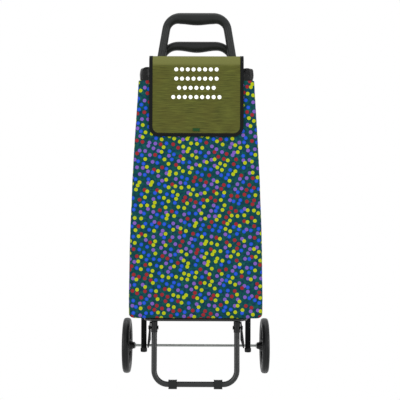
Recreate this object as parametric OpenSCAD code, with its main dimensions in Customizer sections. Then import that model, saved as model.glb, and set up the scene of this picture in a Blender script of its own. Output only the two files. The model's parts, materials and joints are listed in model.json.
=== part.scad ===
// Shopping trolley: a folding two-wheeled tube frame that carries a fabric bag with a flap.
// Millimetres, +Z up. The wheels are at the rear (+Y) and the bag's front faces -Y.
// The origin is on the floor, in the middle of the trolley's outline.
// Inside the modules, Y is measured from the wheel axle, and at_axle() puts the pieces in place.

/* [Overall] */
// Height of the top of the pull handle above the floor
total_h = 986; // [975:1:1000]
// Distance of the wheel axle behind the middle of the trolley
axle_y = 79; // [78:0.1:80]

/* [Wheels] */
// Outside diameter of the tyres
wheel_d = 150; // [148:1:152]
// Width of a tyre
tyre_w = 20; // [18:1:22]
// Distance of each wheel's middle plane from the centre line
wheel_x = 188; // [186:1:192]
// Diameter of the steel axle
axle_d = 7; // [6.6:0.1:7.4]
// Number of spokes in a wheel
spoke_count = 6; // [4:1:8]

/* [Main frame] */
// Diameter of the two main tubes
tube_d = 15; // [14:0.5:16]
// Wall thickness of every steel tube
tube_wall = 1.2; // [1:0.1:1.8]
// Distance of each main tube from the centre line, below the bend
tube_x = 142.5; // [142:0.5:144]
// Height of the lower end of the main tubes
tube_foot_z = 61; // [59:0.5:62]
// Height at which the main tubes bend inwards
bend_z = 598; // [590:1:606]
// How far a main tube leans inwards for each millimetre that it rises above the bend
lean_slope = 0.17; // [0.16:0.01:0.18]
// Height of the upper end of the main tubes, inside the pull handle
tube_top_z = 900; // [890:1:905]
// Diameter of the cross bars
cross_bar_d = 12; // [10:0.5:13]

/* [Handles] */
// Diameter of the pull handle's legs
pull_leg_d = 22; // [20:0.5:22]
// Diameter of the pull handle's grip
pull_grip_d = 31; // [28:1:32]
// Centre line radius of the pull handle's corners
pull_corner_r = 36; // [34:1:40]
// Height of the top of the lift handle
lift_top_z = 911; // [905:1:915]
// Diameter of the lift handle's legs
lift_leg_d = 19; // [17:0.5:19]
// Diameter of the lift handle's grip
lift_grip_d = 25; // [24:1:28]
// Centre line radius of the lift handle's corners
lift_corner_r = 39; // [36:1:42]
// Distance of the lift handle behind the main tubes
lift_back_y = 21; // [21:0.5:24]

/* [Folding base] */
// Distance of the base's hinge in front of the axle
hinge_fwd = 52; // [50:1:54]
// Height of the base's hinge
hinge_z = 166; // [165:0.5:167]
// Diameter of the platform's outer rod
rim_rod_d = 8; // [7:0.5:8]
// Height of the platform rods' centre line
platform_z = 172.6; // [172:0.1:172.8]
// Number of lengthwise rods in the platform
rung_count = 4; // [3:1:6]
// Distance of the front leg's pivot in front of the axle
pivot_fwd = 208; // [206:1:210]
// Height of the front leg's pivot
pivot_z = 152; // [151:0.5:153]
// Thickness of the strut plates
strut_t = 3; // [2.5:0.5:3]

/* [Front leg] */
// Diameter of the front leg's tube
leg_d = 14; // [13:0.5:14]
// Distance of each side of the front leg from the centre line
leg_x = 104; // [103:0.5:104]
// Centre line radius of the front leg's corners
leg_corner_r = 35; // [30:1:40]
// Forward rake of the front leg, in degrees
leg_rake = 4; // [3:0.5:5]
// Length of a foot sleeve along the leg's bottom bar
sleeve_w = 22; // [18:1:26]
// Height of a foot sleeve
sleeve_h = 21.5; // [20:0.5:23]
// Distance of each foot sleeve from the centre line
sleeve_x = 57; // [40:1:60]

/* [Bag] */
// Height of the bag's bottom
bag_bottom_z = 177; // [177:0.5:178]
// Height of the seam between the bag and its collar
bag_top_z = 772; // [768:1:776]
// Thickness of the bag's panels, with their lining
cloth_t = 2; // [1.5:0.5:2.5]
// Distance of the bag's back in front of the axle
bag_back_fwd = 11.5; // [11.5:0.5:12]
// Distance of the bag's front in front of the axle
bag_front_fwd = 229; // [226:0.5:229]
// Radius of the bag's bottom corners
bag_corner_r = 12; // [8:1:16]
// Height of the gathered collar's shoulder
collar_z = 804; // [798:1:808]
// Height of the bag's mouth
mouth_z = 822; // [816:1:826]

/* [Flap] */
// Width of the flap over its binding
flap_w = 236; // [230:1:240]
// Height of the flap's top
flap_top_z = 835; // [831:1:838]
// Height of the flap's lower edge
flap_bottom_z = 632; // [600:1:660]
// Width of the binding tape
binding_w = 8.5; // [6:0.5:10]
// Radius of the flap's lower corners
flap_corner_r = 25; // [15:1:40]

/* [Hidden] */
$fn = 64;

black = "#26282a";
steel = "#8a8e8c";
rubber = "#1c1d1e";
print_teal = "#14544e";
olive = "#5f6228";
nylon = "#17181a";

running_gap = 0.05;   // radial play of a turning fit
cut = 1;              // how far a cutter runs past the face that it cuts
corner_lap = 1;       // degrees that a bend runs into the straight stretches beside it
corner_slack = 0.1;   // how much thinner a bend is than those stretches

// main frame
axle_z = wheel_d / 2;
lean = atan(lean_slope);
bend_r = 80;
bend_start_z = bend_z - bend_r * tan(lean / 2);
bend_end_z = bend_start_z + bend_r * sin(lean);
bend_end_x = tube_x - bend_r * (1 - cos(lean));
lean_len = (tube_top_z - bend_end_z) / cos(lean);
end_cap_d = tube_d + 3;
end_cap_h = 12;
end_cap_floor = 4;
lower_bar_z = 230;
upper_bar_z = 600;
hanger_z = 786;
axle_half = 200;
washer_x = wheel_x - 23.5;
washer_t = 1.5;
bolt_d = 6;
bolt_head_d = 10;

// handles
pull_leg_foot_z = 835;
pull_line_z = total_h - pull_leg_d / 2 - 1;
lift_line_z = lift_top_z - lift_grip_d / 2;
clamp_z = 797;
clamp_h = 30;
clamp_d = 21;
screw_d = 4;
screw_head_d = 7;
screw_head_h = 2.4;
pull_screw_z = 845;
lift_screw_z = 812;

// folding base
hinge_y = -hinge_fwd;
pivot_y = -pivot_fwd;
rim_front_y = -214;
rim_corner_r = 22;
rim_x = 127;
eye_r = 8;
eye_x = 124;
eye_w = 6;
bracket_x = 132;
bracket_t = 4;
rung_d = 6;
rung_pitch = 50;
rear_bar_y = -64;
strut_front_x = 113;
strut_apex_x = 129.5;
strut_toe = atan((strut_apex_x - strut_front_x) / pivot_fwd);
strut_nose = 8;
strut_low_z = 123;
notch_r = axle_d / 2 + 0.4;
stop_d = 5;
knuckle_d = leg_d + 2.4;
knuckle_top = 16.4;
knuckle_low = 12;

// front leg
foot_z = sleeve_h / 2;
foot_y = pivot_y - (pivot_z - foot_z) * tan(leg_rake);
leg_drop = (pivot_z - foot_z) / cos(leg_rake);
leg_top = 11;

// bag
bag_back_y = -bag_back_fwd;
bag_front_y = -bag_front_fwd;
bag_depth = bag_front_fwd - bag_back_fwd;
bag_half_low = 166;
// half width of the bag at heights above its bottom corners: [half width, height]
bag_edge = [[165.5, 230], [164, 350], [159.5, 470], [153, 618], [143, bag_top_z]];
collar_half_low = 141;
collar_half_high = 136.5;
mouth_half_x = 76;
mouth_half_y = 46;
board_x = 150;
board_t = 2;

// flap
flap_half = flap_w / 2;
flap_hinge_y = bag_back_y - 1;
flap_t = 2;
tape_t = 3;
flap_front_y = bag_front_y - 3.2;
crest_r = 18;

module at_axle() {
    translate([0, axle_y, 0]) children();
}

// Shapes are modelled on the right (+X). The left one is the mirror image.
module on_left() {
    mirror([1, 0, 0]) children();
}

module both_sides() {
    children();
    on_left() children();
}

module rod_x(d, from_x, to_x) {
    translate([from_x, 0, 0]) rotate([0, 90, 0]) cylinder(d = d, h = to_x - from_x);
}

// Extrudes an outline drawn in X and Z over the stretch from y to y + t
module upright(y, t) {
    translate([0, y + t, 0]) rotate([90, 0, 0]) linear_extrude(t) children();
}

// Extrudes a profile drawn in Y and Z over the stretch from x to x + w
module across(x, w) {
    translate([x, 0, 0]) rotate([90, 0, 90]) linear_extrude(w) children();
}

function tube_x_at(z) = tube_x - (z - bend_z) * lean_slope;

// Stands at the main tube's centre line at height z, with +Z along the leaning tube
module on_lean(z) {
    translate([tube_x_at(z), 0, z]) rotate([0, -lean, 0]) children();
}

// Main frame

module tube_run(d, over = 0) {
    translate([tube_x, 0, tube_foot_z - over])
        cylinder(d = d, h = bend_start_z - tube_foot_z + over);
    translate([tube_x - bend_r, 0, bend_start_z]) rotate([90, 0, 0]) rotate([0, 0, -corner_lap])
        rotate_extrude(angle = lean + 2 * corner_lap) translate([bend_r, 0])
            circle(d = d - corner_slack);
    translate([bend_end_x, 0, bend_end_z]) rotate([0, -lean, 0])
        cylinder(d = d, h = lean_len + over);
}

module screw_places() {
    on_lean(pull_screw_z) children();
    on_lean(lift_screw_z) children();
}

module screw_holes() {
    screw_places() rod_x(screw_d, -15, -4);
}

module main_tube() {
    difference() {
        tube_run(tube_d);
        tube_run(tube_d - 2 * tube_wall, cut);
        translate([0, 0, axle_z]) rod_x(axle_d + 2 * running_gap, tube_x - tube_d, tube_x + tube_d);
        screw_holes();
    }
}

module main_tube_right() {
    color(black) at_axle() main_tube();
}

module main_tube_left() {
    color(black) at_axle() on_left() main_tube();
}

// A bar welded between the main tubes, coped to them
module crossbar(z) {
    color(black) at_axle() difference() {
        translate([0, 0, z]) rod_x(cross_bar_d, -tube_x_at(max(z, bend_z)), tube_x_at(max(z, bend_z)));
        both_sides() tube_run(tube_d);
    }
}

module lower_crossbar() {
    crossbar(lower_bar_z);
}

module upper_crossbar() {
    crossbar(upper_bar_z);
}

module hanger_bar() {
    crossbar(hanger_z);
}

module tube_end_cap() {
    translate([tube_x, 0, tube_foot_z - end_cap_floor]) difference() {
        cylinder(d = end_cap_d, h = end_cap_h);
        translate([0, 0, end_cap_floor]) cylinder(d = tube_d, h = end_cap_h);
    }
}

module tube_end_cap_right() {
    color(black) at_axle() tube_end_cap();
}

module tube_end_cap_left() {
    color(black) at_axle() on_left() tube_end_cap();
}

module axle() {
    color(steel) at_axle() translate([0, 0, axle_z]) rod_x(axle_d, -axle_half, axle_half);
}

// Push-on washers that keep the wheels from sliding inwards
module axle_washers() {
    color(steel) at_axle() translate([0, 0, axle_z]) both_sides() difference() {
        rod_x(14, washer_x, washer_x + washer_t);
        rod_x(axle_d, washer_x - cut, washer_x + washer_t + cut);
    }
}

// Domed push-on caps on the ends of the axle
module axle_caps() {
    cap_x = wheel_x + tyre_w / 2 + 0.4;
    color(steel) at_axle() translate([0, 0, axle_z]) both_sides() difference() {
        union() {
            rod_x(17, cap_x, cap_x + 2);
            rod_x(13, cap_x, axle_half + 2);
        }
        rod_x(axle_d, cap_x - cut, axle_half);
    }
}

// Plate on the inner side of a main tube that carries the base's hinge bolt
module hinge_bracket() {
    difference() {
        across(bracket_x, bracket_t) {
            translate([hinge_y, hinge_z]) circle(r = eye_r);
            translate([hinge_y, hinge_z - eye_r]) square([hinge_fwd + 4, 2 * eye_r]);
        }
        tube_run(tube_d);
        translate([0, hinge_y, hinge_z]) rod_x(bolt_d, bracket_x - cut, bracket_x + bracket_t + cut);
    }
}

module hinge_bracket_right() {
    color(black) at_axle() hinge_bracket();
}

module hinge_bracket_left() {
    color(black) at_axle() on_left() hinge_bracket();
}

module hinge_bolts() {
    color(steel) at_axle() both_sides() translate([0, hinge_y, hinge_z]) {
        rod_x(bolt_head_d, eye_x - 5, eye_x - 1.2);
        rod_x(bolt_d, eye_x - 5, bracket_x + bracket_t + 5);
        translate([bracket_x + bracket_t, 0, 0]) rotate([0, 90, 0])
            cylinder(d = bolt_head_d, h = 4, $fn = 6);
    }
}

// Handles

// One side of a handle's arch: a leaning leg and the corner that turns into the level grip
module arch_side(d, foot_z, line_z, r) {
    tangent = r * tan((90 - lean) / 2);
    corner_x = tube_x_at(line_z) - tangent;
    on_lean(foot_z) cylinder(d = d, h = (line_z - foot_z) / cos(lean) - tangent);
    translate([corner_x, 0, line_z - r]) rotate([90, 0, 0]) rotate([0, 0, lean - corner_lap])
        rotate_extrude(angle = 90 - lean + 2 * corner_lap) translate([r, 0])
            circle(d = d - corner_slack);
}

// The space that the straight upper part of a main tube fills
module tube_bore() {
    on_lean(clamp_z - cut) cylinder(d = tube_d, h = (tube_top_z - clamp_z + cut) / cos(lean));
}

function grip_half(line_z, r) = tube_x_at(line_z) - r * tan((90 - lean) / 2);

module pull_handle() {
    half = grip_half(pull_line_z, pull_corner_r);
    color(black) at_axle() difference() {
        union() {
            both_sides() arch_side(pull_leg_d, pull_leg_foot_z, pull_line_z, pull_corner_r);
            translate([0, 0, total_h - pull_grip_d / 2]) rod_x(pull_grip_d, -half, half);
        }
        both_sides() tube_bore();
        both_sides() screw_holes();
    }
}

module lift_handle() {
    half = grip_half(lift_line_z, lift_corner_r);
    color(black) at_axle() difference() {
        union() {
            translate([0, lift_back_y, 0]) {
                both_sides() arch_side(lift_leg_d, clamp_z, lift_line_z, lift_corner_r);
                translate([0, 0, lift_line_z]) rod_x(lift_grip_d, -half, half);
            }
            both_sides() on_lean(clamp_z) {
                cylinder(d = clamp_d, h = clamp_h);
                translate([-clamp_d / 4, 0, 0]) cube([clamp_d / 2, lift_back_y, clamp_h]);
            }
        }
        both_sides() tube_bore();
        both_sides() screw_holes();
    }
}

// Pan-head screws that pin both handles to the main tubes
module handle_screws() {
    color(steel) at_axle() both_sides() {
        on_lean(pull_screw_z) handle_screw(pull_leg_d / 2);
        on_lean(lift_screw_z) handle_screw(clamp_d / 2);
    }
}

module handle_screw(seat) {
    rod_x(screw_head_d, -seat - screw_head_h, -seat);
    rod_x(screw_d, -seat, -tube_d / 2 + tube_wall + 0.2);
}

// Bag

// Front outline of the bag, drawn in X and Z and moved inwards by inset
module bag_outline(inset = 0) {
    r = bag_corner_r - inset;
    corner_x = bag_half_low - bag_corner_r;
    corner_z = bag_bottom_z + bag_corner_r;
    right = [for (p = bag_edge) [p[0] - inset, p[1]]];
    left = [for (i = [len(bag_edge) - 1:-1:0]) [inset - bag_edge[i][0], bag_edge[i][1]]];
    low_right = [[corner_x, bag_bottom_z + inset], [bag_half_low - inset, corner_z]];
    low_left = [[inset - bag_half_low, corner_z], [-corner_x, bag_bottom_z + inset]];
    polygon(concat(low_right, right, left, low_left));
    for (s = [-1, 1]) translate([s * corner_x, corner_z]) circle(r = r);
}

module bag_front_panel() {
    color(print_teal) at_axle() upright(bag_front_y, cloth_t) bag_outline();
}

// The back panel rises behind the mouth to carry the flap
module bag_back_panel() {
    color(print_teal) at_axle() upright(bag_back_y - cloth_t, cloth_t) {
        bag_outline();
        polygon([
            [-flap_half - 16, bag_top_z], [flap_half + 16, bag_top_z],
            [flap_half - 3, flap_top_z - 3.5], [3 - flap_half, flap_top_z - 3.5]
        ]);
    }
}

// Outline of both side panels: a strip that turns under at the bottom corners
module side_strip() {
    difference() {
        bag_outline();
        bag_outline(cloth_t);
        translate([bag_corner_r - bag_half_low, bag_bottom_z - cut])
            square([2 * (bag_half_low - bag_corner_r), cloth_t + 2 * cut]);
    }
}

module bag_side() {
    upright(bag_front_y + cloth_t, bag_depth - 2 * cloth_t) intersection() {
        side_strip();
        square([200, 900]);
    }
}

module bag_side_right() {
    color(print_teal) at_axle() bag_side();
}

module bag_side_left() {
    color(print_teal) at_axle() on_left() bag_side();
}

module bag_bottom_panel() {
    half = bag_half_low - bag_corner_r;
    color(nylon) at_axle() translate([-half, bag_front_y + cloth_t, bag_bottom_z])
        cube([2 * half, bag_depth - 2 * cloth_t, cloth_t]);
}

// Stiffening board that lies in the bag over the platform
module base_board() {
    color("#6d5f4c") at_axle()
        translate([-board_x, bag_front_y + cloth_t + 2, bag_bottom_z + cloth_t + 0.3])
        cube([2 * board_x, rear_bar_y - bag_front_y - cloth_t - 2, board_t]);
}

// A level rectangle of the collar's outline
module collar_ring(half_x, near_y, far_y, z) {
    translate([-half_x, near_y, z]) cube([2 * half_x, far_y - near_y, 0.2]);
}

module collar_body(t, low) {
    near = bag_front_y + 1 + t;
    far = bag_back_y - cloth_t - t;
    middle = (near + far) / 2;
    hull() {
        collar_ring(collar_half_low - t, near, far, bag_top_z - low);
        collar_ring(collar_half_high - t, near + 6, far, collar_z - t);
    }
    hull() {
        collar_ring(collar_half_high - t, near + 6, far, collar_z - t);
        collar_ring(mouth_half_x + cloth_t - t, middle - mouth_half_y - cloth_t + t,
                    middle + mouth_half_y + cloth_t - t, mouth_z - 0.2 + (t > 0 ? cut : 0));
    }
}

// Black nylon collar that is gathered round the bag's mouth
module bag_collar() {
    color(nylon) at_axle() difference() {
        collar_body(0, 0);
        collar_body(cloth_t, cut);
    }
}

// Webbing loop round a cross bar, with a tail sewn to the bag's back
module strap_loop(x, z) {
    across(x - 12.5, 25) translate([0, z]) difference() {
        union() {
            circle(d = cross_bar_d + 4);
            translate([bag_back_y, -28]) square([3, 28 + 5]);
            translate([bag_back_y, -5]) square([-bag_back_y, 10]);
        }
        circle(d = cross_bar_d + 0.4);
    }
}

module hanging_straps() {
    color(nylon) at_axle() for (s = [-1, 1]) strap_loop(s * 60, hanger_z);
}

module lower_straps() {
    color(nylon) at_axle() for (s = [-1, 1]) strap_loop(s * 60, lower_bar_z);
}

module strap_snaps() {
    color(steel) at_axle() for (s = [-1, 1]) for (z = [hanger_z, lower_bar_z])
        translate([s * 60, bag_back_y + 3, z - 18]) rotate([-90, 0, 0]) cylinder(d = 12, h = 1.8);
}

// Flap

// Profile of the flap in Y and Z: level top, rounded crest and hanging front
module flap_profile(t) {
    grow = (t - flap_t) / 2;
    crest_y = flap_front_y + crest_r;
    crest_z = flap_top_z - crest_r;
    translate([crest_y, flap_top_z - flap_t - grow]) square([flap_hinge_y - crest_y, t]);
    translate([flap_front_y - grow, 0]) square([t, crest_z]);
    intersection() {
        translate([crest_y, crest_z]) difference() {
            circle(r = crest_r + grow);
            circle(r = crest_r - flap_t - grow);
        }
        translate([crest_y - crest_r - t, crest_z]) square(crest_r + t);
    }
}

// Front outline of the flap in X and Z, rounded at its lower corners
module flap_outline(half, bottom, r) {
    translate([-half, bottom + r]) square([2 * half, 300]);
    translate([r - half, bottom]) square([2 * (half - r), r + 1]);
    for (s = [-1, 1]) translate([s * (half - r), bottom + r]) circle(r = r);
}

module flap_cloth_outline() {
    flap_outline(flap_half - binding_w, flap_bottom_z + binding_w, flap_corner_r - binding_w);
}

module flap_panel() {
    color(olive) at_axle() intersection() {
        across(-flap_half, flap_w) flap_profile(flap_t);
        upright(-300, 350) flap_cloth_outline();
    }
}

module flap_binding() {
    color(nylon) at_axle() intersection() {
        across(-flap_half - 1, flap_w + 2) flap_profile(tape_t);
        upright(-300, 350) difference() {
            flap_outline(flap_half, flap_bottom_z, flap_corner_r);
            flap_cloth_outline();
        }
    }
}

// Small plain woven tab above the flap's lower edge
module flap_tab() {
    color("#1d3b1c") at_axle() translate([-8.5, flap_front_y - 0.6, flap_bottom_z + 13])
        cube([17, 0.6, 7.5]);
}

module patch(y) {
    translate([-30, y, flap_bottom_z + 22]) cube([60, 0.5, 25]);
}

module closure_hook_patch() {
    color(nylon) at_axle() patch(flap_front_y + flap_t);
}

module closure_loop_patch() {
    color(nylon) at_axle() patch(bag_front_y - 0.5);
}

// Folding base

module rim_solid() {
    rod = rim_rod_d;
    straight = rim_x - rim_corner_r;
    translate([0, rim_front_y, platform_z]) rod_x(rod, -straight, straight);
    both_sides() {
        translate([straight, rim_front_y + rim_corner_r, platform_z]) rotate([0, 0, -90])
            rotate_extrude(angle = 90) translate([rim_corner_r, 0]) circle(d = rod);
        translate([rim_x, rim_front_y + rim_corner_r, platform_z]) rotate([-90, 0, 0])
            cylinder(d = rod, h = hinge_y - rim_front_y - rim_corner_r);
        translate([0, hinge_y, hinge_z]) rod_x(2 * eye_r, eye_x, eye_x + eye_w);
    }
}

// Bent rod round the platform, with an eye at each rear end for the hinge bolts
module platform_rim() {
    color(black) at_axle() difference() {
        rim_solid();
        both_sides() translate([0, hinge_y, hinge_z])
            rod_x(bolt_d + 2 * running_gap, eye_x - 2 * cut, eye_x + eye_w + 2 * cut);
    }
}

// Rear cross rod and the lengthwise rods that the bag stands on
module platform_rungs() {
    color(black) at_axle() difference() {
        translate([0, 0, platform_z]) {
            translate([0, rear_bar_y, 0]) rod_x(rung_d, -rim_x, rim_x);
            for (i = [0:rung_count - 1])
                translate([(i - (rung_count - 1) / 2) * rung_pitch, rim_front_y, 0]) rotate([-90, 0, 0])
                    cylinder(d = rung_d, h = rear_bar_y - rim_front_y);
        }
        rim_solid();
    }
}

module strut_plate() {
    reach = pivot_fwd / cos(strut_toe);
    translate([strut_front_x, pivot_y, 0]) rotate([0, 0, -strut_toe]) across(0, strut_t) difference() {
        union() {
            polygon([
                [-strut_nose, platform_z - rim_rod_d / 2 - 0.2], [-strut_nose, strut_low_z],
                [reach - 2, axle_z - 7], [reach + 4, axle_z + 6]
            ]);
            translate([reach, axle_z]) circle(r = 7.3);
        }
        translate([reach, axle_z]) {
            circle(r = notch_r);
            rotate(30) translate([0, -notch_r]) square([20, 2 * notch_r]);
        }
    }
}

// Triangular steel plate from the platform's front corner back to a notch that seats on the axle
module strut() {
    difference() {
        strut_plate();
        translate([0, pivot_y, pivot_z]) rod_x(bolt_d, strut_front_x - 10, strut_front_x + 10);
    }
}

module strut_right() {
    color(black) at_axle() strut();
}

module strut_left() {
    color(black) at_axle() on_left() strut();
}

// Pin on the inner side of each strut, which the top of the front leg leans against
module stop_pins() {
    stop_z = pivot_z + 11.2;
    stop_y = pivot_y + 11.2 * tan(leg_rake) + knuckle_d / 2 + stop_d / 2 + 0.4;
    color(black) at_axle() both_sides() difference() {
        translate([0, stop_y, stop_z]) rod_x(stop_d, leg_x - 6, strut_front_x + 2);
        strut_plate();
    }
}

module leg_pivot_bolts() {
    head_x = leg_x - knuckle_d / 2 - 0.4;
    nut_x = strut_front_x + strut_t + 0.5;
    color(black) at_axle() both_sides() translate([0, pivot_y, pivot_z]) {
        rod_x(bolt_head_d, head_x - 1.8, head_x);
        rod_x(bolt_d, head_x - 1, nut_x + 2);
        translate([nut_x, 0, 0]) rotate([0, 90, 0]) cylinder(d = bolt_head_d, h = 2.4, $fn = 6);
    }
}

// Front leg

// Stands at the leg's pivot, with the leg's plane raked forwards
module in_leg_plane() {
    translate([0, pivot_y, pivot_z]) rotate([-leg_rake, 0, 0]) children();
}

module leg_run(d, over = 0) {
    r = leg_corner_r;
    translate([0, 0, -leg_drop]) rod_x(d, r - leg_x, leg_x - r);
    both_sides() {
        translate([leg_x - r, 0, r - leg_drop]) rotate([90, 0, 0]) rotate([0, 0, -90])
            rotate_extrude(angle = 90) translate([r, 0]) circle(d = d);
        translate([leg_x, 0, r - leg_drop]) cylinder(d = d, h = leg_drop - r + leg_top + over);
    }
}

module pivot_bores() {
    both_sides() rod_x(bolt_d + 2 * running_gap, leg_x - 12, leg_x + 12);
}

// U-shaped tube that the trolley stands on in front
module front_leg() {
    color(black) at_axle() in_leg_plane() difference() {
        leg_run(leg_d);
        leg_run(leg_d - 2 * tube_wall, cut);
        pivot_bores();
    }
}

// Moulded caps over the tops of the leg, rounded so that they turn just under the platform
module leg_knuckles() {
    color(black) at_axle() in_leg_plane() both_sides() difference() {
        intersection() {
            translate([leg_x, 0, -knuckle_low]) cylinder(d = knuckle_d, h = knuckle_low + knuckle_top + 2);
            rod_x(2 * knuckle_top, leg_x - knuckle_d, leg_x + knuckle_d);
        }
        translate([leg_x, 0, -knuckle_low - cut]) cylinder(d = leg_d, h = knuckle_low + leg_top + cut);
        pivot_bores();
    }
}

// Slip-on sleeve with a flat sole
module foot_sleeve() {
    translate([0, foot_y, foot_z]) difference() {
        union() {
            rod_x(sleeve_h, sleeve_x - sleeve_w / 2, sleeve_x + sleeve_w / 2);
            translate([sleeve_x - sleeve_w / 2, -sleeve_h / 2, -foot_z])
                cube([sleeve_w, sleeve_h, sleeve_h / 2]);
        }
        rod_x(leg_d, sleeve_x - sleeve_w, sleeve_x + sleeve_w);
    }
}

module foot_sleeve_right() {
    color(rubber) at_axle() foot_sleeve();
}

module foot_sleeve_left() {
    color(rubber) at_axle() on_left() foot_sleeve();
}

// Wheels

rim_r = wheel_d / 2 - 13;

// Turns a profile drawn as [radius, distance outwards] round the wheel's axis
module wheel_turn() {
    translate([wheel_x, 0, axle_z]) rotate([0, 90, 0]) rotate_extrude() children();
}

module tyre() {
    shoulder = 6;
    wheel_turn() {
        translate([rim_r, -tyre_w / 2]) square([wheel_d / 2 - shoulder - rim_r, tyre_w]);
        translate([rim_r, shoulder - tyre_w / 2]) square([wheel_d / 2 - rim_r, tyre_w - 2 * shoulder]);
        for (s = [-1, 1]) translate([wheel_d / 2 - shoulder, s * (tyre_w / 2 - shoulder)])
            circle(r = shoulder);
    }
}

module wheel_rim() {
    hub_r = 15;
    difference() {
        union() {
            wheel_turn() translate([rim_r - 8, 2 - tyre_w / 2]) square([8, tyre_w - 4]);
            wheel_turn() polygon([
                [0, -21], [9, -21], [9, -17], [hub_r, -9], [hub_r, 9], [0, 9]
            ]);
            for (i = [0:spoke_count - 1])
                translate([wheel_x, 0, axle_z]) rotate([i * 360 / spoke_count, 0, 0])
                    translate([-4, -5, hub_r - 2]) cube([8, 10, rim_r - 6 - hub_r + 2]);
        }
        translate([0, 0, axle_z]) rod_x(axle_d + 2 * running_gap, wheel_x - 30, wheel_x + 20);
    }
}

module tyre_right() {
    color(rubber) at_axle() tyre();
}

module tyre_left() {
    color(rubber) at_axle() on_left() tyre();
}

module rim_right() {
    color(black) at_axle() wheel_rim();
}

module rim_left() {
    color(black) at_axle() on_left() wheel_rim();
}

// The assembly

main_tube_left();
main_tube_right();
lower_crossbar();
upper_crossbar();
hanger_bar();
tube_end_cap_left();
tube_end_cap_right();
axle();
axle_washers();
axle_caps();
hinge_bracket_left();
hinge_bracket_right();
hinge_bolts();
pull_handle();
lift_handle();
handle_screws();
bag_front_panel();
bag_back_panel();
bag_side_left();
bag_side_right();
bag_bottom_panel();
bag_collar();
base_board();
hanging_straps();
lower_straps();
strap_snaps();
flap_panel();
flap_binding();
flap_tab();
closure_hook_patch();
closure_loop_patch();
platform_rim();
platform_rungs();
strut_left();
strut_right();
stop_pins();
leg_pivot_bolts();
front_leg();
leg_knuckles();
foot_sleeve_left();
foot_sleeve_right();
tyre_left();
rim_left();
tyre_right();
rim_right();
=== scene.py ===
import json
from math import atan, cos, exp, hypot, pi, radians, sin, tan

import bmesh
import bpy
from mathutils import Matrix, Vector, noise


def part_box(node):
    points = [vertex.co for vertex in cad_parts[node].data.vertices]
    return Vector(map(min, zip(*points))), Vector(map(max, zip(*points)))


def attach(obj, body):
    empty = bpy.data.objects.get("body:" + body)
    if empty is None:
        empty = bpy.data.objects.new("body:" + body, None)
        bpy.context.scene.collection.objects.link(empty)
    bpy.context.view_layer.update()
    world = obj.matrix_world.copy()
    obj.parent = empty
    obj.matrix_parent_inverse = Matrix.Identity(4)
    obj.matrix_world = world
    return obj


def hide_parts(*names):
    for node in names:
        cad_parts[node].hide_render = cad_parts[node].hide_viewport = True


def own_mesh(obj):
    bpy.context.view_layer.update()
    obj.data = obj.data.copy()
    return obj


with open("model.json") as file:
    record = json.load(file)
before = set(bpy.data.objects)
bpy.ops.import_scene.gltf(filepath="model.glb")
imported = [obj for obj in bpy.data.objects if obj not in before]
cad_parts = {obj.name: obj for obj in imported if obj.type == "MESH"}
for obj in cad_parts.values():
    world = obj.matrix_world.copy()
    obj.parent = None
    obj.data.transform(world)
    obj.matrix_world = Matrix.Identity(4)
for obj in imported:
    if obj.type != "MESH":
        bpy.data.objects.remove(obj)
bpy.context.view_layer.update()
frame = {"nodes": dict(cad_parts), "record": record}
print("frame loaded:", len(frame["nodes"]), "nodes")

# The whole object is in metres, +Z up, its front faces -Y. mm turns drawing sizes into metres.
mm = 0.001
axleY, axleZ = (sum(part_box("axle"), Vector()) / 2).yz


# small helpers

def deselectAll():
    if bpy.context.mode != "OBJECT":
        bpy.ops.object.mode_set(mode="OBJECT")
    bpy.ops.object.select_all(action="DESELECT")


def openPiece(name):
    # the primitive just added becomes a piece with its place in its mesh, open for editing
    obj = bpy.context.object
    obj.name = name
    obj.data.name = name
    bpy.ops.object.transform_apply(location=True, rotation=True, scale=True)
    bpy.ops.object.mode_set(mode="EDIT")
    return obj


def pick(kind, test):
    # selects the vertices, edges or faces of the open piece whose centre and normal pass the test
    bpy.ops.mesh.select_mode(type=kind)
    mesh = bmesh.from_edit_mesh(bpy.context.object.data)
    for part in list(mesh.faces) + list(mesh.edges) + list(mesh.verts):
        part.select_set(False)
    if kind == "VERT":
        chosen = [v for v in mesh.verts if test(v.co, v.normal)]
    elif kind == "EDGE":
        chosen = [e for e in mesh.edges
                  if test((e.verts[0].co + e.verts[1].co) / 2, (e.verts[1].co - e.verts[0].co))]
    else:
        chosen = [f for f in mesh.faces if test(f.calc_center_median(), f.normal)]
    for part in chosen:
        part.select_set(True)
    mesh.select_flush_mode()
    bmesh.update_edit_mesh(bpy.context.object.data)


def pickAll():
    bpy.ops.mesh.select_all(action="SELECT")


def pull(move):
    bpy.ops.mesh.extrude_edges_move(TRANSFORM_OT_translate={"value": move})


def turn(angle, axis, centre):
    # a right-handed turn of what is selected; with no window the operator turns the other way
    bpy.ops.transform.rotate(value=-angle, orient_axis=axis, center_override=centre)


def grow(factors, centre):
    bpy.ops.transform.resize(value=factors, center_override=centre)


def cleanUp(merge=0.02 * mm):
    pickAll()
    bpy.ops.mesh.remove_doubles(threshold=merge)
    bpy.ops.mesh.normals_make_consistent(inside=False)


def closePiece(obj, smoothAngle=40):
    bpy.ops.object.mode_set(mode="OBJECT")
    deselectAll()
    obj.select_set(True)
    bpy.context.view_layer.objects.active = obj
    bpy.ops.object.shade_smooth_by_angle(angle=radians(smoothAngle))
    return obj


def applyModifier(obj, kind, **settings):
    deselectAll()
    obj.select_set(True)
    bpy.context.view_layer.objects.active = obj
    modifier = obj.modifiers.new(kind.title(), kind)
    for name, value in settings.items():
        setattr(modifier, name, value)
    bpy.ops.object.modifier_apply(modifier=modifier.name)


def softenEdges(obj, width, angle=40):
    applyModifier(obj, "BEVEL", width=width, segments=2, limit_method="ANGLE", angle_limit=radians(angle))


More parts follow.
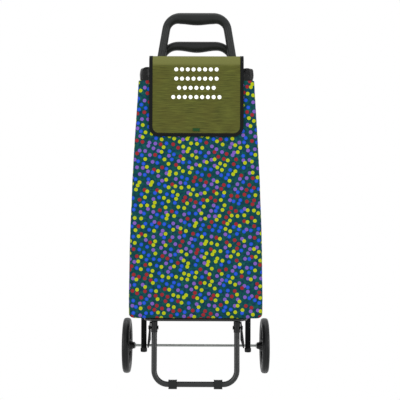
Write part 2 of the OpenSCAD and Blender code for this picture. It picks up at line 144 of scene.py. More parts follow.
def joinPieces(obj, others):
    deselectAll()
    for other in others:
        other.select_set(True)
    obj.select_set(True)
    bpy.context.view_layer.objects.active = obj
    bpy.ops.object.join()
    return obj


def twin(obj, name, mirrored=False):
    # a copy with its own mesh, as it is or mirrored left to right
    copy = obj.copy()
    copy.data = obj.data.copy()
    copy.name = name
    copy.data.name = name
    bpy.context.collection.objects.link(copy)
    if mirrored:
        copy.data.transform(Matrix.Diagonal((-1, 1, 1, 1)))
        copy.data.flip_normals()
    return copy


def lathe(name, outline, centre, steps=64, axis=(1, 0, 0)):
    # a vertex is pulled along the outline, given as (distance along the axis, radius) in mm,
    # and the line is spun round the axis through the centre
    sideways = Vector((0, 0, 1)) if axis[0] else Vector((1, 0, 0))
    points = [Vector(centre) + (Vector(axis) * x + sideways * r) * mm for x, r in outline]
    bpy.ops.mesh.primitive_plane_add(size=mm, location=points[0])
    obj = openPiece(name)
    bpy.ops.mesh.select_mode(type="VERT")
    pickAll()
    bpy.ops.mesh.merge(type="CENTER")
    for start, end in zip(points, points[1:]):
        bpy.ops.mesh.extrude_vertices_move(TRANSFORM_OT_translate={"value": end - start})
    pickAll()
    bpy.ops.mesh.spin(steps=steps, angle=2 * pi, center=centre, axis=axis)
    cleanUp()
    return obj


def layCloth(obj, place):
    # writes the flat cloth coordinates, in metres, that place(point, face normal) gives
    layer = obj.data.uv_layers.get("cloth") or obj.data.uv_layers.new(name="cloth")
    for face in obj.data.polygons:
        for corner in face.loop_indices:
            co = obj.data.vertices[obj.data.loops[corner].vertex_index].co
            layer.data[corner].uv = place(co, face.normal)


def trimPlace(co, normal):
    # for small flat trims: the two directions that a face looks least along
    away = [abs(c) for c in normal]
    flat = away.index(max(away))
    return [co[i] for i in range(3) if i != flat]


def wear(obj, material, slotName, body, *nodes):
    # material, record slot (not used), body and the CAD nodes that the piece stands for
    obj.data.materials.clear()
    obj.data.materials.append(material)
    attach(obj, body)
    if nodes:
        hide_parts(*nodes)


# materials

def colour(hexText):
    # sRGB hex to linear RGBA
    channels = [int(hexText[i:i + 2], 16) / 255 for i in (1, 3, 5)]
    return [c / 12.92 if c <= 0.04045 else ((c + 0.055) / 1.055) ** 2.4 for c in channels] + [1]


def addNode(tree, kind, settings=None, links=None):
    # links gives each input a value, a node (its first output) or (node, output)
    node = tree.nodes.new("ShaderNode" + kind)
    for name, value in (settings or {}).items():
        setattr(node, name, value)
    for socket, value in (links or {}).items():
        if isinstance(value, bpy.types.Node):
            value = (value, 0)
        if isinstance(value, tuple) and isinstance(value[0], bpy.types.Node):
            tree.links.new(value[0].outputs[value[1]], node.inputs[socket])
        else:
            node.inputs[socket].default_value = value
    return node


def calc(tree, operation, first, second):
    return addNode(tree, "Math", {"operation": operation}, {0: first, 1: second})


def blend(tree, share, under, over):
    # a colour mix, given back with the number of its colour output
    return addNode(tree, "Mix", {"data_type": "RGBA"}, {0: share, 6: under, 7: over}), 2


def remap(tree, value, low, high, newLow=0.0, newHigh=1.0):
    return addNode(tree, "MapRange", None, {"Value": value, "From Min": low, "From Max": high,
                                            "To Min": newLow, "To Max": newHigh})


def clouds(tree, where, size, detail):
    return addNode(tree, "TexNoise", None, {"Vector": where, "Scale": 1 / size, "Detail": detail})


def newMaterial(name, **shader):
    # returns the material, its node tree and its Principled shader with constant values set
    material = bpy.data.materials.new(name)
    material.use_nodes = True
    tree = material.node_tree
    principled = next(n for n in tree.nodes if n.type == "BSDF_PRINCIPLED")
    for socket, value in shader.items():
        principled.inputs[socket.replace("_", " ")].default_value = value
    return material, tree, principled


def finishColour(tree, principled, tint, rough):
    tree.links.new(tint[0].outputs[tint[1]], principled.inputs["Base Color"])
    tree.links.new(rough.outputs[0], principled.inputs["Roughness"])


def finishBump(tree, principled, height, distance, strength=1.0):
    bump = addNode(tree, "Bump", None, {"Strength": strength, "Distance": distance, "Height": height})
    tree.links.new(bump.outputs[0], principled.inputs["Normal"])


def mottle(tree, principled, where, tones, size, rough, detail=4):
    # two close colours and two close roughnesses that drift into each other over a size in metres
    cloud = clouds(tree, where, size, detail)
    tint = blend(tree, cloud, colour(tones[0]), colour(tones[1]))
    finishColour(tree, principled, tint, remap(tree, cloud, 0.3, 0.7, *rough))


def objectPlace(tree):
    return (addNode(tree, "TexCoord"), "Object")


def surfacePlace(tree):
    return (addNode(tree, "UVMap", {"uv_map": "cloth"}), 0)


def makeHardFinish(name, tones, size, rough, grain, bump, detail=4, **shader):
    # drifting tones over a size in metres; grain is a texture, its size and detail,
    # and bump is how deep and how strong that grain is
    material, tree, principled = newMaterial(name, **shader)
    where = objectPlace(tree)
    mottle(tree, principled, where, tones, size, rough, detail)
    kind, grainSize, grainDetail = grain
    grit = addNode(tree, kind, None, {"Vector": where, "Scale": 1 / grainSize, "Detail": grainDetail})
    finishBump(tree, principled, grit, *bump)
    return material


def makeZincSteel():
    # zinc-plated steel rod and screws: grey metal, drawn lengthwise, slightly dull
    material, tree, principled = newMaterial("zinc-plated steel", Metallic=1.0)
    where = objectPlace(tree)
    mottle(tree, principled, where, ("#7d817f", "#a4a8a5"), 0.03, (0.3, 0.45))
    stretched = addNode(tree, "Mapping", None, {"Vector": where, "Scale": (30, 2000, 2000)})
    lines = clouds(tree, stretched, 1.0, 3)
    finishBump(tree, principled, lines, 0.02 * mm, 0.5)
    return material


def weave(tree, where, spacing):
    # plain weave: two crossed sine waves, one thread spacing apart, that take turns on top
    threads = {"Vector": where, "Scale": pi / (20 * spacing), "Distortion": 0.0}
    warp = addNode(tree, "TexWave", {"wave_type": "BANDS", "bands_direction": "X"}, threads)
    weft = addNode(tree, "TexWave", {"wave_type": "BANDS", "bands_direction": "Y"}, threads)
    return calc(tree, "MULTIPLY", (warp, 1), (weft, 1))


printing = {
    "spacing": 14.3 * mm,      # mean distance between dots
    "radius": 4.6 * mm,
    "scatter": 0.62,           # 0 sets the dots out evenly, 1 strews them
    "askew": 0.46,             # radians between the print and the weave
    "fleck": 1.1 * mm,         # pin mark in the middle of a dot, and how strongly it shows
    "fleckShare": 0.35,
    # a dot's rank decides its ink: each ink takes the ranks below its limit
    "order": [(0.34, "#9da812"), (0.58, "#1c49b8"), (0.78, "#84202a"), (1.0, "#6c4fa4")],
}


def makePrintedPolyester():
    # woven polyester printed with dots: teal ground, mottled with green and navy; yellow dots
    # overlap the others, so each point asks its two nearest dots which one lies on top
    material, tree, principled = newMaterial("printed woven polyester", IOR=1.5,
                                             Specular_IOR_Level=0.02)
    where = surfacePlace(tree)
    cloud = clouds(tree, where, 0.022, 3)
    speck = clouds(tree, where, 0.006, 4)
    ground = blend(tree, remap(tree, cloud, 0.35, 0.65), colour("#0d4038"), colour("#154d48"))
    ground = blend(tree, remap(tree, speck, 0.42, 0.62), ground, colour("#102c43"))
    askew = addNode(tree, "VectorRotate", {"rotation_type": "Z_AXIS"},
                    {"Vector": where, "Angle": printing["askew"]})

    def dotLayer(feature):
        cell = addNode(tree, "TexVoronoi", {"voronoi_dimensions": "2D", "feature": feature},
                       {"Vector": askew, "Scale": 1 / printing["spacing"],
                        "Randomness": printing["scatter"]})
        reach = (cell, "Distance")                               # in spacings
        rank = addNode(tree, "SeparateColor", None, {"Color": (cell, "Color")})
        inside = calc(tree, "LESS_THAN", reach, printing["radius"] / printing["spacing"])
        paint = colour(printing["order"][-1][1])
        for limit, hexText in reversed(printing["order"][:-1]):
            paint = blend(tree, calc(tree, "LESS_THAN", rank, limit), paint, colour(hexText))
        fleck = calc(tree, "LESS_THAN", reach, printing["fleck"] / printing["spacing"])
        fleck = calc(tree, "MULTIPLY", fleck, printing["fleckShare"])
        return inside, rank, blend(tree, fleck, paint, colour("#8a4a1c"))

    insideNear, rankNear, paintNear = dotLayer("F1")
    insideFar, rankFar, paintFar = dotLayer("F2")
    # the farther dot shows where the nearer one doesn't reach, or where it ranks above it
    farFirst = calc(tree, "LESS_THAN", rankFar, rankNear)
    missed = calc(tree, "SUBTRACT", 1.0, insideNear)
    farWins = calc(tree, "MULTIPLY", calc(tree, "MAXIMUM", farFirst, missed), insideFar)
    onDot = calc(tree, "MAXIMUM", insideNear, insideFar)
    paint = blend(tree, onDot, ground, blend(tree, farWins, paintNear, paintFar))
    finishColour(tree, principled, paint, remap(tree, speck, 0.0, 1.0, 0.62, 0.8))
    # the threads are 0.5 mm apart on the real cloth and drawn at 1.2 mm so that they show
    finishBump(tree, principled, weave(tree, where, 1.2 * mm), 0.12 * mm, 0.5)
    return material


def makeNylon(name, spacing, tones, rough):
    # plain-woven nylon: dark, creased about every 14 mm, with a cool grey shine on the folds
    material, tree, principled = newMaterial(name, IOR=1.53, Specular_IOR_Level=0.2)
    where = surfacePlace(tree)
    mottle(tree, principled, where, tones, 0.02, rough)
    crease = clouds(tree, where, 0.014, 2)
    threads = calc(tree, "MULTIPLY", weave(tree, where, spacing), 0.03)
    finishBump(tree, principled, calc(tree, "ADD", crease, threads), 5 * mm, 0.9)
    return material


flapPrint = {
    "pitch": 14.4 * mm, "radius": 4.9 * mm, "ink": "#f4f5f1",
    # height of each row of dots in mm and how many dots it has
    "rows": [(799.5, 8), (776.5, 8), (753.5, 7), (730.5, 9)],
}


def makeOliveCanvas():
    # cotton canvas with a crosswise rib every 4 mm: olive, with a painted highlight that makes it lighter
    # along the crest where it turns up to the light, printed with centred rows of white dots
    material, tree, principled = newMaterial("ribbed cotton canvas", IOR=1.5,
                                             Specular_IOR_Level=0.1)
    where = surfacePlace(tree)
    place = addNode(tree, "SeparateXYZ", None, {"Vector": where})
    across, height = (place, "X"), (place, "Y")
    streaky = addNode(tree, "Mapping", None, {"Vector": where, "Scale": (30, 480, 1)})
    streak = clouds(tree, streaky, 1.0, 5)
    streak = remap(tree, streak, 0.3, 0.7)
    cloud = clouds(tree, where, 0.05, 3)
    base = blend(tree, streak, colour("#383a17"), colour("#5a5d28"))
    base = blend(tree, remap(tree, cloud, 0.4, 0.75, 0.0, 0.5), base, colour("#4a461d"))
    # painted highlight: over the crest the canvas is blended to a lighter olive, standing in for light
    # falling on its top
    crest = remap(tree, height, 0.806, 0.816)
    crest.interpolation_type = "SMOOTHSTEP"
    base = blend(tree, crest, base, colour("#646637"))
    pitch = flapPrint["pitch"]
    ink = 0.0
    for rowHeight, count in flapPrint["rows"]:
        # every dot of a row is the same disc, repeated by the remainder of x over the pitch
        slide = calc(tree, "ADD", across, (count % 2) * pitch / 2 + 10 * pitch)
        aside = calc(tree, "SUBTRACT", calc(tree, "MODULO", slide, pitch), pitch / 2)
        above = calc(tree, "SUBTRACT", height, rowHeight * mm)
        offset = addNode(tree, "CombineXYZ", None, {"X": aside, "Y": above})
        reach = addNode(tree, "VectorMath", {"operation": "LENGTH"}, {0: offset})
        disc = calc(tree, "LESS_THAN", (reach, "Value"), flapPrint["radius"])
        side = addNode(tree, "Math", {"operation": "ABSOLUTE"}, {0: across})
        row = calc(tree, "MULTIPLY", disc, calc(tree, "LESS_THAN", side, count * pitch / 2))
        ink = calc(tree, "MAXIMUM", ink, row)
    paint = blend(tree, ink, base, colour(flapPrint["ink"]))
    finishColour(tree, principled, paint, remap(tree, streak, 0.0, 1.0, 0.75, 0.88))
    rib = addNode(tree, "TexWave", {"wave_type": "BANDS", "bands_direction": "Y"},
                  {"Vector": where, "Scale": 2 * pi / 20 / (4 * mm), "Distortion": 1.0, "Detail": 2.0})
    relief = calc(tree, "ADD", (rib, 1), weave(tree, where, 1.0 * mm))
    finishBump(tree, principled, relief, 0.12 * mm, 0.6)
    return material


def makeTape(name, tones, spacing):
    # grosgrain and webbing: narrow cords that run across the tape
    material, tree, principled = newMaterial(name, IOR=1.5, Specular_IOR_Level=0.1)
    where = surfacePlace(tree)
    mottle(tree, principled, where, tones, 0.01, (0.6, 0.75))
    finishBump(tree, principled, weave(tree, where, spacing), 0.2 * mm, 0.6)
    return material


# polyester powder coat on steel tube: near black, satin, with a faint orange peel 1.5 mm across
powderCoat = makeHardFinish(
    "powder-coated steel", ("#171919", "#1f2121"), 0.06, (0.26, 0.34),
    ("TexNoise", 0.0015, 2), (0.05 * mm, 0.6), IOR=1.5, Specular_IOR_Level=0.4)
# dip-painted sheet steel of the struts and brackets: flat black, no shine even at a low angle
sheetBlack = makeHardFinish(
    "matt black painted sheet", ("#121313", "#1b1d1d"), 0.02, (0.6, 0.75),
    ("TexNoise", 0.001, 3), (0.04 * mm, 0.5), Specular_IOR_Level=0.02)
zincSteel = makeZincSteel()
# moulded polypropylene with a spark-eroded satin grain 0.8 mm across, greyer where light grazes
handlePlastic = makeHardFinish(
    "moulded polypropylene", ("#171919", "#202222"), 0.05, (0.36, 0.46),
    ("TexVoronoi", 0.0008, 0), (0.04 * mm, 0.5), IOR=1.49, Specular_IOR_Level=0.22)
# moulded ABS for wheel centres and caps: black, a little glossier, with fine grain
blackPlastic = makeHardFinish(
    "moulded ABS", ("#0d0e0e", "#141516"), 0.04, (0.36, 0.46),
    ("TexNoise", 0.001, 3), (0.04 * mm, 0.4), IOR=1.53, Specular_IOR_Level=0.2)
# vulcanised rubber: charcoal with a soft sheen on the crown and faint scuffing
tyreRubber = makeHardFinish(
    "vulcanised rubber", ("#0b0c0c", "#161718"), 0.012, (0.3, 0.5),
    ("TexNoise", 0.0025, 6), (0.1 * mm, 0.5), 8, IOR=1.52, Specular_IOR_Level=0.24)
# moulded PVC rubber of the foot sleeves: matt black with a coarse pebble grain 1.6 mm across
footRubber = makeHardFinish(
    "moulded PVC rubber", ("#131414", "#1e2020"), 0.008, (0.6, 0.75),
    ("TexVoronoi", 0.0016, 0), (0.25 * mm, 0.8), 8, IOR=1.52, Specular_IOR_Level=0.2)
# nylon hook-and-loop tape: fuzzy black pile
hookAndLoop = makeHardFinish(
    "hook-and-loop nylon", ("#0d0d0e", "#1c1d1f"), 0.002, (0.8, 0.95),
    ("TexVoronoi", 0.0014, 0), (0.4 * mm, 1.0), IOR=1.53, Specular_IOR_Level=0.2)
# pressed fibre board: warm brown with short fibres
hardboard = makeHardFinish(
    "hardboard", ("#5d4d3a", "#76644e"), 0.004, (0.7, 0.85),
    ("TexNoise", 0.002, 6), (0.15 * mm, 0.7), 8, IOR=1.5)
printedCloth = makePrintedPolyester()
nylonCloth = makeNylon("nylon taffeta", 1.0 * mm, ("#040405", "#090a0a"), (0.24, 0.36))
liningCloth = makeNylon("nylon lining", 1.2 * mm, ("#1d1f21", "#2a2d30"), (0.55, 0.7))
oliveCanvas = makeOliveCanvas()
bindingTape = makeTape("grosgrain binding", ("#090a0a", "#121314"), 1.5 * mm)
webbing = makeTape("polypropylene webbing", ("#101112", "#1e2022"), 2.0 * mm)
greenTab = makeTape("woven satin tab", ("#17361a", "#204622"), 1.0 * mm)

nodeFinish = {
    "coated_steel": powderCoat, "bare_steel": zincSteel, "black_plastic": blackPlastic,
    "handle_plastic": handlePlastic, "foot_rubber": footRubber, "tyre_rubber": tyreRubber,
    "board": hardboard, "hook_and_loop": hookAndLoop,
}
slotOf = {part["node"]: part["material_slot"] for part in frame["record"]["subparts"]}
for nodeName, obj in frame["nodes"].items():
    finish = nodeFinish.get(slotOf.get(nodeName))
    if nodeName.startswith(("strut_", "hinge_bracket_", "leg_pivot_", "stop_pins", "main_tube_")):
        finish = sheetBlack
    if finish:
        obj.data.materials.clear()
        obj.data.materials.append(finish)
print("materials ready")


# handles

tube = {"x": 142.5 * mm, "bendZ": 598 * mm, "slope": 0.17}   # main tubes lean inwards above the bend
lean = atan(tube["slope"])
upTube = Vector((-sin(lean), 0, cos(lean)))


def tubeX(z):
    return tube["x"] - (z - tube["bendZ"]) * tube["slope"]


pullHandle = {"leg": 22.2 * mm, "foot": 835 * mm, "line": 974 * mm, "corner": 38 * mm, "back": 0.0,
              "grip": 30.5 * mm, "belly": 34 * mm, "anchor": 8.5 * mm, "top": 986 * mm, "groove": 0.82}
liftHandle = {"leg": 19 * mm, "foot": 797 * mm, "line": 898.5 * mm, "corner": 46 * mm, "back": 21 * mm,
              "grip": 25 * mm, "belly": 31 * mm, "anchor": 0.0, "top": 911 * mm, "groove": 0.9}


def makeArch(name, size):
    # half of a handle: a ring is pulled up the leg, round the corner and along the grip
    backY = axleY + size["back"]
    tangent = size["corner"] * tan((pi / 2 - lean) / 2)
    legLength = (size["line"] - size["foot"]) / cos(lean) - tangent
    foot = Vector((tubeX(size["foot"]), backY, size["foot"]))
    bpy.ops.mesh.primitive_circle_add(vertices=32, radius=size["leg"] / 2, location=foot,
                                      rotation=(0, -lean, 0))
    obj = openPiece(name)
    bpy.ops.mesh.select_mode(type="EDGE")
    pickAll()
    rim = 1.5 * mm
    legSteps = 8
    for length in [rim] + [(legLength - rim) / legSteps] * legSteps:
        pull(upTube * length)
    cornerX = tubeX(size["line"]) - tangent
    centre = Vector((cornerX, backY, size["line"] - size["corner"]))
    cornerSteps = 12
    swell = (size["grip"] / size["leg"]) ** (1 / cornerSteps)
    for step in range(1, cornerSteps + 1):
        pull((0, 0, 0))
        turn(-(pi / 2 - lean) / cornerSteps, "Y", centre)
        angle = lean + (pi / 2 - lean) * step / cornerSteps
        outward = Vector((cos(angle), 0, sin(angle)))
        grow((swell, swell, swell), centre + outward * (size["corner"] + size["anchor"]))
    gripSteps = 7
    thick = size["grip"]
    for step in range(1, gripSteps + 1):
        pull((-cornerX / gripSteps, 0, 0))
        wanted = size["grip"] + (size["belly"] - size["grip"]) * (0.5 - 0.5 * cos(pi * step / gripSteps))
        grow((1, 1, wanted / thick), (0, backY, size["top"]))
        thick = wanted
    # a shallow groove runs up the front and the back of the leg and fades out in the corner
    pick("VERT", lambda co, n: abs(n.y) > 0.985 and co.z < centre.z + 0.4 * size["corner"])
    grow((1, size["groove"], 1), (0, backY, 0))
    # the foot closes round the steel tube
    pick("EDGE", lambda co, d: (co - foot).dot(upTube) < 0.1 * mm)
    bpy.ops.mesh.edge_face_add()
    bpy.ops.mesh.inset(thickness=1.2 * mm)
    bpy.ops.mesh.extrude_region_move(TRANSFORM_OT_translate={"value": upTube * 5 * mm})
    pickAll()
    bpy.ops.mesh.normals_make_consistent(inside=False)
    closePiece(obj)
    applyModifier(obj, "MIRROR", use_axis=(True, False, False), use_clip=True, merge_threshold=0.01 * mm)
    applyModifier(obj, "SUBSURF", levels=2, render_levels=2)
    return obj


clampSize = {"height": 30 * mm, "radius": 10.5 * mm, "rim": 2.4 * mm,
             "webWide": 10.5 * mm, "webHigh": 26 * mm, "webRim": 3 * mm}


def makeClamp(name, size):
    # the collar that grips a main tube, with the web that ties it to the lift handle's leg
    height = clampSize["height"]
    middle = Vector((tubeX(size["foot"]), axleY, size["foot"])) + upTube * height / 2
    bpy.ops.mesh.primitive_cylinder_add(vertices=48, radius=clampSize["radius"], depth=height,
                                        location=middle, rotation=(0, -lean, 0))
    clamp = openPiece(name)
    pick("FACE", lambda co, n: abs(n.dot(upTube)) > 0.9)
    bpy.ops.mesh.inset(thickness=clampSize["rim"], use_individual=True)
    closePiece(clamp)
    bpy.ops.mesh.primitive_cube_add(size=1, scale=(clampSize["webWide"], size["back"], clampSize["webHigh"]),
                                    location=middle + Vector((0, size["back"] / 2, 0)),
                                    rotation=(0, -lean, 0))
    web = openPiece(name + "-web")
    pick("FACE", lambda co, n: abs(n.x) > 0.9)
    bpy.ops.mesh.inset(thickness=clampSize["webRim"], use_individual=True)
    grow((0.7, 1, 1), middle)
    closePiece(web)
    joinPieces(clamp, [web])
    softenEdges(clamp, 0.8 * mm)
    return closePiece(clamp)


def makeHandles():
    tall = makeArch("pull_handle_moulding", pullHandle)
    wear(tall, handlePlastic, "handle_plastic", "frame", "pull_handle")
    lift = makeArch("lift_handle_moulding", liftHandle)
    clamp = makeClamp("lift_clamp", liftHandle)
    joinPieces(lift, [clamp, twin(clamp, "lift_clamp_left", mirrored=True)])
    wear(closePiece(lift), handlePlastic, "handle_plastic", "frame", "lift_handle")
    print("handles moulded")


makeHandles()


# wheels, feet and end caps

wheel = {
    "x": 188 * mm, "spokes": 6, "spokeLow": 13.5 * mm, "spokeHigh": 56 * mm,
    "spokeThick": 9 * mm, "spokeWide": 13 * mm,
    # the rest is in mm; outlines give the distance along the axle and the radius
    "tyreHalf": 10, "tread": 75, "shoulder": 9, "bead": 62, "groove": 0.7,
    "hoop": [(-8, 61.8), (-8, 58.6), (-6.5, 54.4), (6.5, 54.4), (8, 58.6), (8, 61.8), (-8, 61.8)],
    "hub": [(-21, 4.2), (-21, 8.4), (-20.2, 9), (-17, 9), (-9.5, 14.6), (-8.5, 15), (9, 15),
            (9, 12.5), (7.5, 11.8), (7.5, 4.2), (-21, 4.2)],
}


def treadRadius(x):
    # a rounded square shoulder that runs into a nearly level tread
    square = 2.6
    rise = (1 - abs(x / wheel["tyreHalf"]) ** square) ** (1 / square)
    return wheel["tread"] - wheel["shoulder"] + wheel["shoulder"] * rise


def makeWheel():
    centre = Vector((wheel["x"], axleY, axleZ))
    outline = [(-7.6, wheel["bead"] - 0.3), (-9.2, wheel["bead"] + 1.2)]
    for x in (-10, -9.9, -9.5, -8.8, -7.8, -6.5, -5, -3.6):
        outline.append((x, treadRadius(x)))
    outline += [(x, treadRadius(x) - wheel["groove"]) for x in (-3.3, -2.5)]
    outline.append((-2.2, treadRadius(-2.2)))
    outline += [(-x, r) for x, r in reversed(outline)] + [outline[0]]
    tyre = closePiece(lathe("tyre_tread_right", outline, centre, 128))

    rim = closePiece(lathe("rim_moulding_right", wheel["hoop"], centre, 96))
    hub = closePiece(lathe("hub", wheel["hub"], centre, 64))
    # one spoke: a tapered bar with a sunk panel on both sides, copied round the hub
    low, high = wheel["spokeLow"], wheel["spokeHigh"]
    bpy.ops.mesh.primitive_cube_add(size=1, scale=(wheel["spokeThick"], wheel["spokeWide"], high - low),
                                    location=centre + Vector((0, 0, (low + high) / 2)))
    spoke = openPiece("spoke")
    pick("FACE", lambda co, n: n.z > 0.9)
    grow((0.8, 0.66, 1), centre)
    pick("FACE", lambda co, n: abs(n.x) > 0.9)
    bpy.ops.mesh.inset(thickness=2.2 * mm, use_individual=True)
    grow((0.6, 1, 1), centre)
    closePiece(spoke)
    softenEdges(spoke, 0.9 * mm, 25)
    spokes = [spoke]
    for number in range(1, wheel["spokes"]):
        copy = twin(spoke, "spoke-%d" % number)
        spin = Matrix.Rotation(2 * pi * number / wheel["spokes"], 4, "X")
        copy.data.transform(Matrix.Translation(centre) @ spin @ Matrix.Translation(-centre))
        spokes.append(copy)
    joinPieces(rim, [hub] + spokes)
    softenEdges(rim, 0.5 * mm, 50)
    closePiece(rim)
    tyreLeft = twin(tyre, "tyre_tread_left", mirrored=True)
    rimLeft = twin(rim, "rim_moulding_left", mirrored=True)
    wear(tyre, tyreRubber, "tyre_rubber", "wheel_right", "tyre_right")
    wear(rim, blackPlastic, "black_plastic", "wheel_right", "rim_right")
    wear(tyreLeft, tyreRubber, "tyre_rubber", "wheel_left", "tyre_left")
    wear(rimLeft, blackPlastic, "black_plastic", "wheel_left", "rim_left")


def makeFootSleeve():
    low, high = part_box("foot_sleeve_right")
    middle = (low + high) / 2
    size = high - low
    bpy.ops.mesh.primitive_cube_add(size=1, scale=size, location=middle)
    sleeve = openPiece("foot_sleeve_moulding_right")
    pick("EDGE", lambda co, d: abs(d.x) > 0.9 * d.length)
    bpy.ops.mesh.bevel(offset=3.5 * mm, segments=4)
    pick("FACE", lambda co, n: abs(n.x) > 0.9)
    bpy.ops.mesh.inset(thickness=2 * mm, use_individual=True)
    pick("FACE", lambda co, n: abs(n.x) > 0.9 and abs(co.z - middle.z) < 0.3 * mm)
    grow((0.9, 1, 1), middle)
    # a raised band round each end
    for side in (-1, 1):
        pickAll()
        bpy.ops.mesh.bisect(plane_co=middle + Vector((side * 0.3 * size.x, 0, 0)), plane_no=(1, 0, 0))
    pick("FACE", lambda co, n: abs(co.x - middle.x) < 0.2 * size.x and abs(n.x) < 0.3 and n.z > -0.5)
    grow((1, 0.95, 0.975), (middle.x, middle.y, low.z))
    closePiece(sleeve)
    softenEdges(sleeve, 0.6 * mm)
    closePiece(sleeve)
    left = twin(sleeve, "foot_sleeve_moulding_left", mirrored=True)
    wear(sleeve, footRubber, "foot_rubber", "leg", "foot_sleeve_right")
    wear(left, footRubber, "foot_rubber", "leg", "foot_sleeve_left")


# height above the tube's foot and radius, in mm
capOutline = [(0, 0), (0, 6.4), (0.5, 7.9), (1.6, 8.8), (3, 9), (10.4, 9), (11.6, 8.6), (12, 7.7), (12, 7.3)]


def makeEndCap():
    low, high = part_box("tube_end_cap_right")
    foot = Vector(((low.x + high.x) / 2, (low.y + high.y) / 2, low.z))
    cap = closePiece(lathe("end_cap_moulding_right", capOutline, foot, 48, (0, 0, 1)))
    left = twin(cap, "end_cap_moulding_left", mirrored=True)
    wear(cap, blackPlastic, "black_plastic", "frame", "tube_end_cap_right")
    wear(left, blackPlastic, "black_plastic", "frame", "tube_end_cap_left")


makeWheel()
makeFootSleeve()
makeEndCap()
print("wheels, feet and caps moulded")


# bag

bag = {
    "low": 177 * mm, "corner": 12 * mm,                      # bottom, and its rounded ends in front view
    "halfLow": 167.6 * mm,                                   # cut a little fuller than the CAD's flat panels
    "edge": [(189, 167.6), (230, 167.9), (290, 166.9), (350, 166.2), (410, 164.5), (470, 161.9),
             (530, 159.6), (618, 154.8), (772, 145)],
    "front": axleY - 229 * mm, "back": axleY - 11.5 * mm,
    "fold": 8 * mm,                                          # radius of the upright corners
    "top": 772 * mm, "ringStep": 10 * mm,
    "bulge": 5 * mm, "pinch": 7 * mm, "cloth": 1.4 * mm,
}


def bagHalf(z):
    # half the bag's width at a height: rounded bottom corners, then straight tapering sides
    if z < bag["low"] + bag["corner"]:
        drop = bag["low"] + bag["corner"] - z
        return bag["halfLow"] - bag["corner"] + max(0, bag["corner"] ** 2 - drop ** 2) ** 0.5
    edge = [(height * mm, half * mm) for height, half in bag["edge"]]
    for (z0, x0), (z1, x1) in zip(edge, edge[1:]):
        if z <= z1:
            return x0 + (x1 - x0) * (z - z0) / (z1 - z0)
    return edge[-1][1]


def drawLoop(name, half, near, far, z, corner, cutsAcross, cutsDeep):
    # a level rounded rectangle of edges, cut finely enough to wrinkle
    bpy.ops.mesh.primitive_plane_add(size=1, location=(0, (near + far) / 2, z))
    obj = openPiece(name)
    grow((2 * half, far - near, 1), (0, (near + far) / 2, z))
    bpy.ops.mesh.bevel(offset=corner, segments=4, affect="VERTICES")
    bpy.ops.mesh.delete(type="ONLY_FACE")
    pick("EDGE", lambda co, d: abs(d.x) > 1.2 * half)
    bpy.ops.mesh.subdivide(number_cuts=cutsAcross)
    pick("EDGE", lambda co, d: abs(d.y) > 0.6 * (far - near))
    bpy.ops.mesh.subdivide(number_cuts=cutsDeep)
    bpy.ops.mesh.select_mode(type="EDGE")
    pickAll()
    return obj


def pullRing(lift, scaleX, scaleY, centre):
    pull((0, 0, lift))
    grow((scaleX, scaleY, 1), centre)


def drift(x, y, z, size):
    # smooth repeatable noise between -1 and 1 over a distance in metres
    return noise.noise(Vector((x, y, z)) / size)


def sagBag(obj):
    # the front bellies out, the sides pull in along a soft upright crease, and the cloth ripples
    depth = bag["back"] - bag["front"]
    for v in obj.data.vertices:
        x, y, z = v.co
        half = bagHalf(z)
        rise = (z - bag["low"]) / (bag["top"] - bag["low"])
        calm = min(1, rise / 0.06) * min(1, (1 - rise) / 0.08)
        across = min(1, abs(x) / half)
        deep = (y - bag["front"]) / depth
        ripple = 1.6 * mm * drift(x, y * 2, z * 0.5, 0.07) + 0.7 * mm * drift(x + 1, y, z * 0.6, 0.026)
        belly = bag["bulge"] * sin(pi * min(1, rise / 0.72)) * (1 - across ** 2.5) if rise < 0.72 else 0
        if deep < 0.06:
            out = belly + ripple * calm
            if rise > 0.7:
                out = min(out, 0.0) - 0.6 * mm
            v.co.y -= out * (1 - (deep / 0.06) ** 2)
        elif deep > 0.97:
            v.co.y += 0.3 * ripple * calm
        if across > 0.9:
            sway = sin(pi * min(1, max(0, (deep - 0.04) / 0.92)))
            crease = exp(-((deep - 0.5) / 0.09) ** 2)
            drawIn = bag["pinch"] * (0.55 * sway + 0.45 * crease) * (0.35 + 0.65 * sin(pi * rise)) * calm
            wave = 2.2 * mm * drift(3, y * 1.5, z, 0.08) + 1.0 * mm * drift(7, y, z * 1.5, 0.03)
            edge = 0.5 * mm * drift(11, 0, z, 0.05)
            v.co.x -= (1 if x > 0 else -1) * (drawIn - wave * sway * calm + edge * calm)
    obj.data.update()


def panelPlace(co, normal):
    # panel by panel: front and back by x and z, sides by y and z
    if abs(normal.z) > 0.8:
        return co.x, co.y + 3
    if normal.y < -0.6:
        return co.x, co.z
    if normal.y > 0.6:
        return 1.5 - co.x, co.z
    along = bagHalf(co.z) + co.y - bag["front"]
    return (along if normal.x > 0 else -along), co.z


